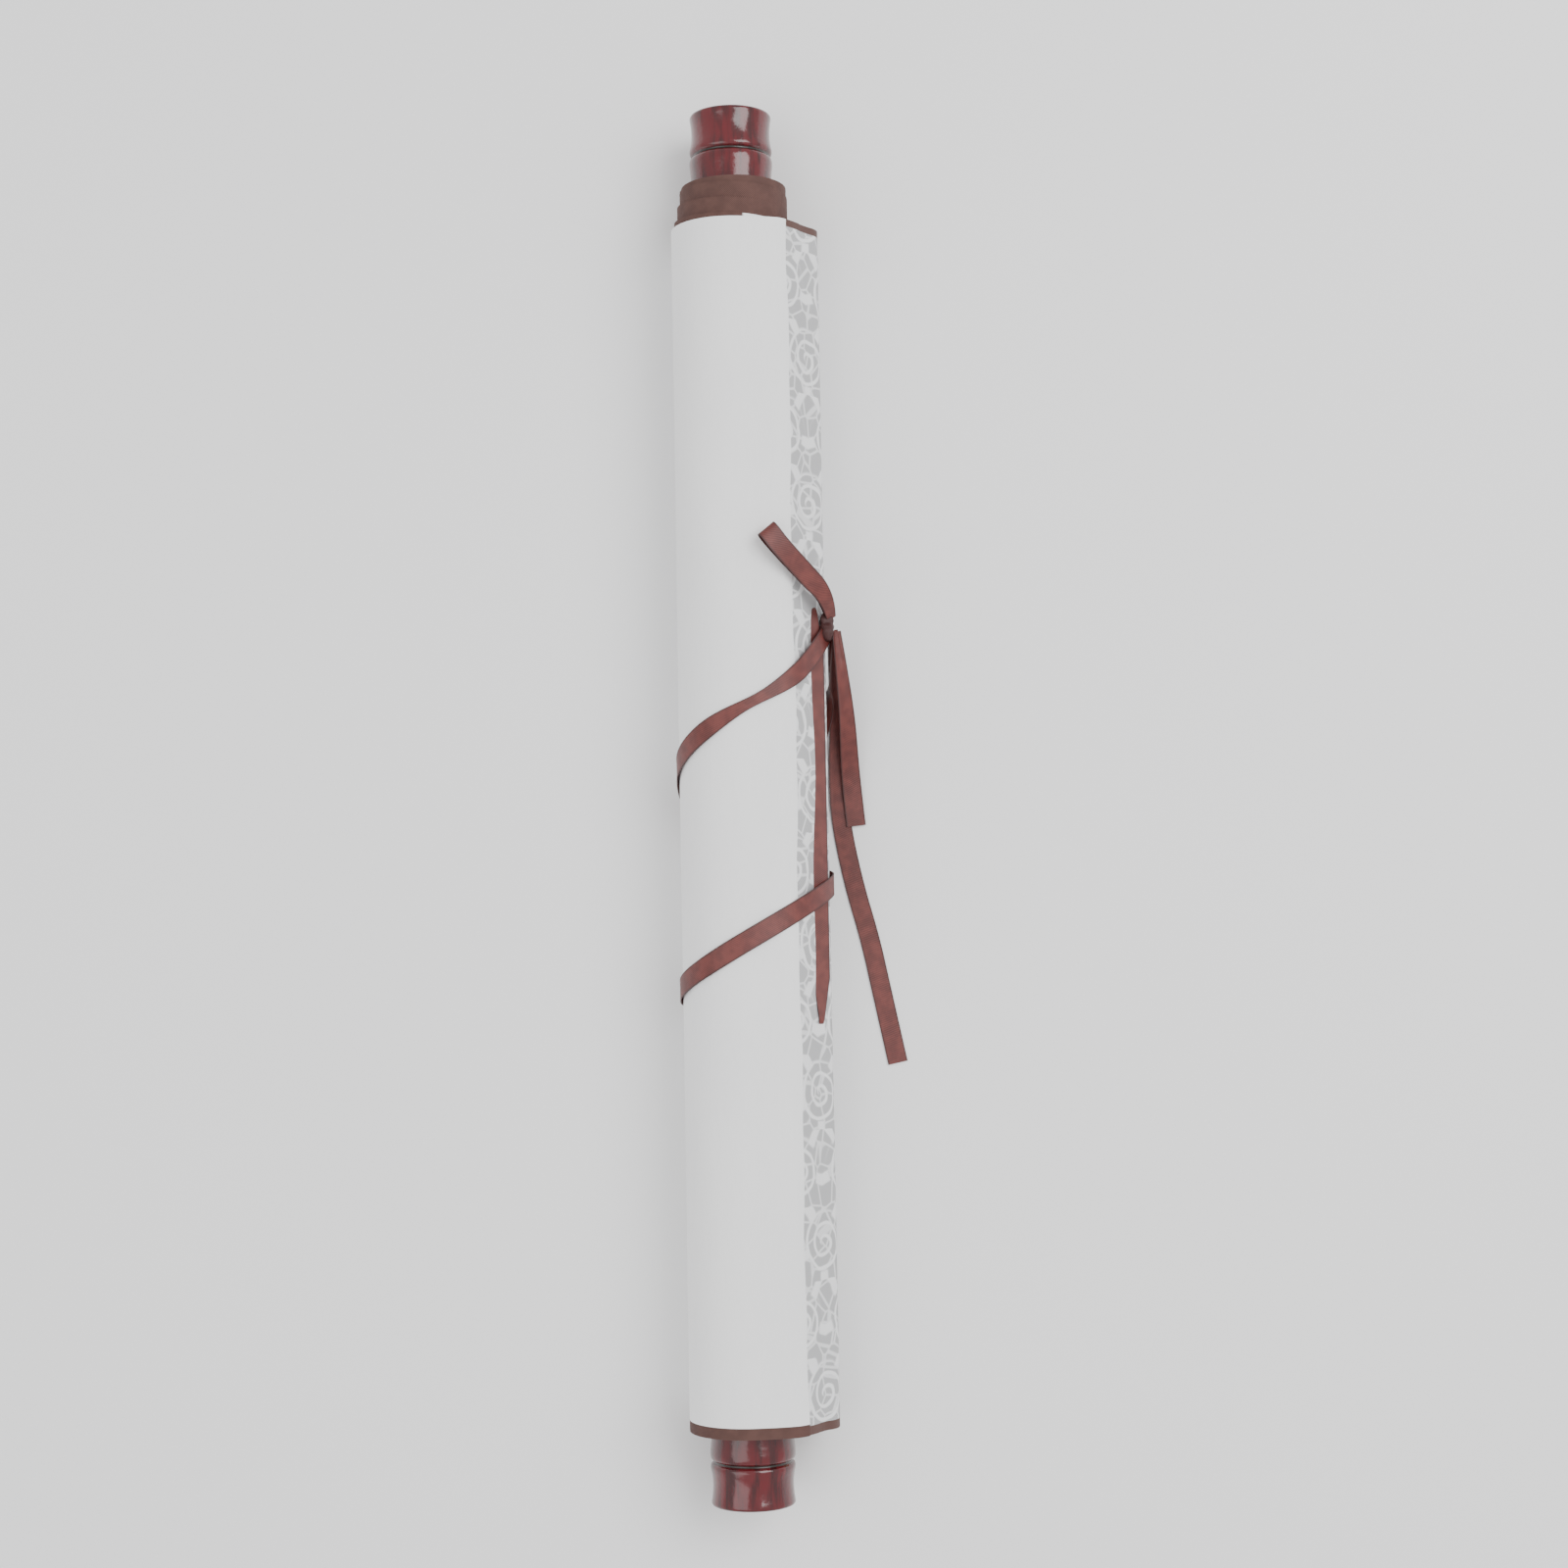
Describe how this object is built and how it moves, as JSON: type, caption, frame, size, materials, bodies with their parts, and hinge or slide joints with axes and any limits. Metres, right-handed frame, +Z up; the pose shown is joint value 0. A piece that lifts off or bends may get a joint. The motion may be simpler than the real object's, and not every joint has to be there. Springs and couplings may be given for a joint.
{
  "type": "rolled hanging scroll",
  "caption": "Blank paper hanging scroll rolled on a roller with turned knobs, tied with a flat ribbon round roll and stave.",
  "frame": {"origin": "middle of the flat spot the roll rests on, under the axis of its outer turns", "axes": "+Y along the roller, +X from the roll to the stave, +Z up from the table"},
  "size_m": [0.0684, 0.4186, 0.0402],
  "materials": {
    "roller_wood": "plain",
    "knob_lacquer": "glossy dark red lacquer",
    "backing_paper": "matte",
    "brocade_cloth": "pale grey brocade with light vines",
    "brown_cloth": "matte weave",
    "stave_wood": "plain",
    "ribbon": "brown-red satin"
  },
  "bodies": {
    "root": {"roller_rod": "roller_wood", "knob_near": "knob_lacquer", "knob_far": "knob_lacquer", "rolled_sheet": "backing_paper", "stave_cover": "brocade_cloth", "edging_near": "brown_cloth", "edging_near_inner": "brown_cloth", "edging_far": "brown_cloth", "edging_far_inner": "brown_cloth", "stave": "stave_wood", "hanging_ribbon": "ribbon", "tie_first_turn": "ribbon", "tie_second_turn": "ribbon", "tie_knot": "ribbon", "tie_loop": "ribbon", "tie_tail_short": "ribbon", "tie_tail_long": "ribbon"}
  },
  "joints": []
}
